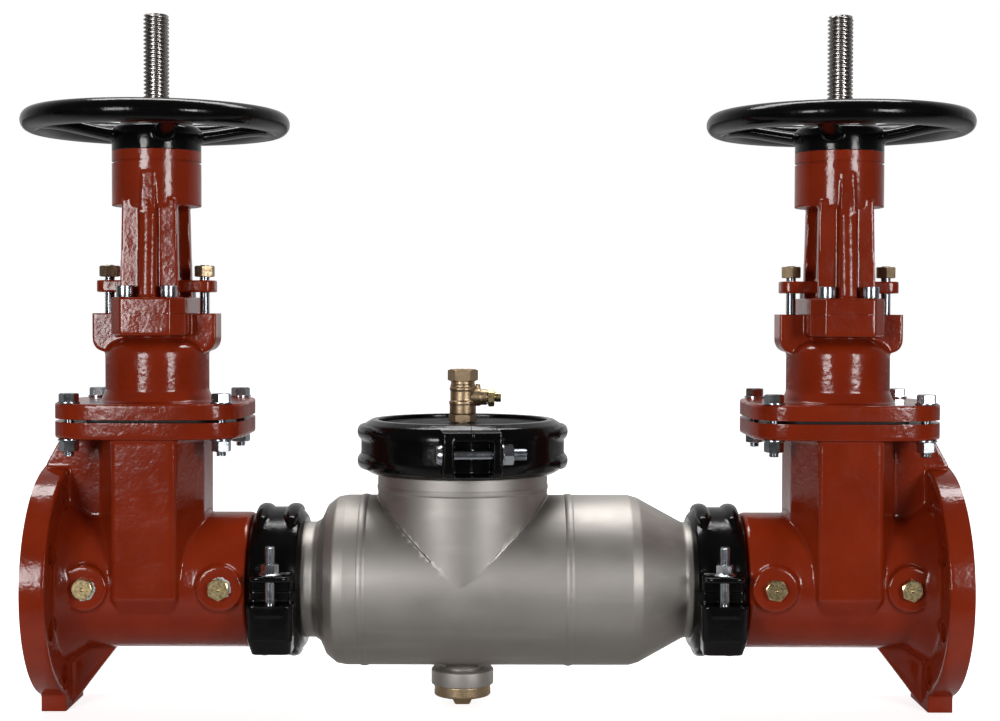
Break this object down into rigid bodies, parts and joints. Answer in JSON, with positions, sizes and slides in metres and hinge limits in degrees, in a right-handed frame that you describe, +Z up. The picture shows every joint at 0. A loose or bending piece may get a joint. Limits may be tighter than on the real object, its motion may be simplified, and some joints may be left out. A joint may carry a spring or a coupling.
{
  "type": "backflow preventer",
  "caption": "Double-check backflow preventer with flanged rising-stem gate valves, handwheels, grooved couplings, a stainless body, test cock and drain plug.",
  "frame": {"origin": "on the floor, below the middle of the assembly", "axes": "+X from the inlet flange to the outlet flange, +Z up along the valve stems, +Y to the back"},
  "size_m": [0.937, 0.261, 0.684],
  "materials": {
    "red_epoxy": "gloss fusion-bonded epoxy over ductile iron",
    "black_enamel": "gloss black enamel over ductile iron",
    "stainless": "bead-blasted stainless steel",
    "steel": "turned stainless steel",
    "zinc": "bright zinc plate",
    "bronze": "cast and machined bronze",
    "rubber": "matte",
    "graphite": "braided graphite packing",
    "acetal": "moulded",
    "coated_iron": "ductile iron under a bonded rubber coat"
  },
  "bodies": {
    "fixed_pieces": {"inlet_valve_body": "red_epoxy", "inlet_bonnet_gasket": "rubber", "inlet_bonnet": "red_epoxy", "inlet_packing": "graphite", "inlet_gland": "red_epoxy", "inlet_yoke": "red_epoxy", "inlet_gland_bolt_outer": "zinc", "inlet_gland_bolt_inner": "zinc", "outlet_valve_body": "red_epoxy", "outlet_bonnet_gasket": "rubber", "outlet_bonnet": "red_epoxy", "outlet_packing": "graphite", "outlet_gland": "red_epoxy", "outlet_yoke": "red_epoxy", "outlet_gland_bolt_outer": "zinc", "outlet_gland_bolt_inner": "zinc", "check_valve_body": "stainless", "top_cover": "black_enamel", "drain_nut": "stainless", "drain_plug": "bronze", "test_cock_body": "bronze", "test_cock_nut": "bronze", "first_check_seat": "acetal", "first_check_cage": "acetal", "first_check_spring": "steel", "second_check_seat": "acetal", "second_check_cage": "acetal", "second_check_spring": "steel", "inlet_coupling_half_a": "black_enamel", "inlet_coupling_half_b": "black_enamel", "inlet_coupling_gasket": "rubber", "inlet_coupling_bolt_front": "zinc", "inlet_coupling_bolt_rear": "zinc", "outlet_coupling_half_a": "black_enamel", "outlet_coupling_half_b": "black_enamel", "outlet_coupling_gasket": "rubber", "outlet_coupling_bolt_front": "zinc", "outlet_coupling_bolt_rear": "zinc", "cover_coupling_half_a": "black_enamel", "cover_coupling_half_b": "black_enamel", "cover_coupling_gasket": "rubber", "cover_coupling_bolt_front": "zinc", "cover_coupling_bolt_rear": "zinc"},
    "inlet_wheel": {"inlet_handwheel": "black_enamel", "inlet_handwheel_nut": "zinc", "inlet_stem_nut": "bronze"},
    "inlet_gate": {"inlet_stem": "steel", "inlet_wedge": "coated_iron"},
    "outlet_wheel": {"outlet_handwheel": "black_enamel", "outlet_handwheel_nut": "zinc", "outlet_stem_nut": "bronze"},
    "outlet_gate": {"outlet_stem": "steel", "outlet_wedge": "coated_iron"},
    "first_poppet": {"first_check_poppet": "acetal", "first_check_seal": "rubber"},
    "second_poppet": {"second_check_poppet": "acetal", "second_check_seal": "rubber"},
    "test_cock_valve": {"test_cock_ball": "steel", "test_cock_spindle": "bronze"}
  },
  "joints": [
    {"name": "inlet_handwheel_turn", "type": "hinge", "parent": "fixed_pieces", "child": "inlet_wheel", "pos_m": [-0.338, 0, 0.5775], "axis": [0, 0, 1], "range_deg": [-4860, 0]},
    {"name": "inlet_stem_rise", "type": "slide", "parent": "fixed_pieces", "child": "inlet_gate", "axis": [0, 0, 1], "range_m": [-0.108, 0]},
    {"name": "outlet_handwheel_turn", "type": "hinge", "parent": "fixed_pieces", "child": "outlet_wheel", "pos_m": [0.338, 0, 0.5775], "axis": [0, 0, 1], "range_deg": [-4860, 0]},
    {"name": "outlet_stem_rise", "type": "slide", "parent": "fixed_pieces", "child": "outlet_gate", "axis": [0, 0, 1], "range_m": [-0.108, 0]},
    {"name": "first_check_lift", "type": "slide", "parent": "fixed_pieces", "child": "first_poppet", "axis": [1, 0, 0], "range_m": [0, 0.022], "stiffness_N_per_m": 1500, "springref_m": -0.031, "deforming": ["first_check_spring"]},
    {"name": "second_check_lift", "type": "slide", "parent": "fixed_pieces", "child": "second_poppet", "axis": [1, 0, 0], "range_m": [0, 0.022], "stiffness_N_per_m": 1500, "springref_m": -0.031, "deforming": ["second_check_spring"]},
    {"name": "test_cock_turn", "type": "hinge", "parent": "fixed_pieces", "child": "test_cock_valve", "pos_m": [-0.0347, 0, 0.307], "axis": [1, 0, 0], "range_deg": [0, 90]}
  ],
  "couplings": [
    {"joint": "inlet_stem_rise", "follows": "inlet_handwheel_turn", "m_per_rad": 0.0012732},
    {"joint": "outlet_stem_rise", "follows": "outlet_handwheel_turn", "m_per_rad": 0.0012732}
  ]
}
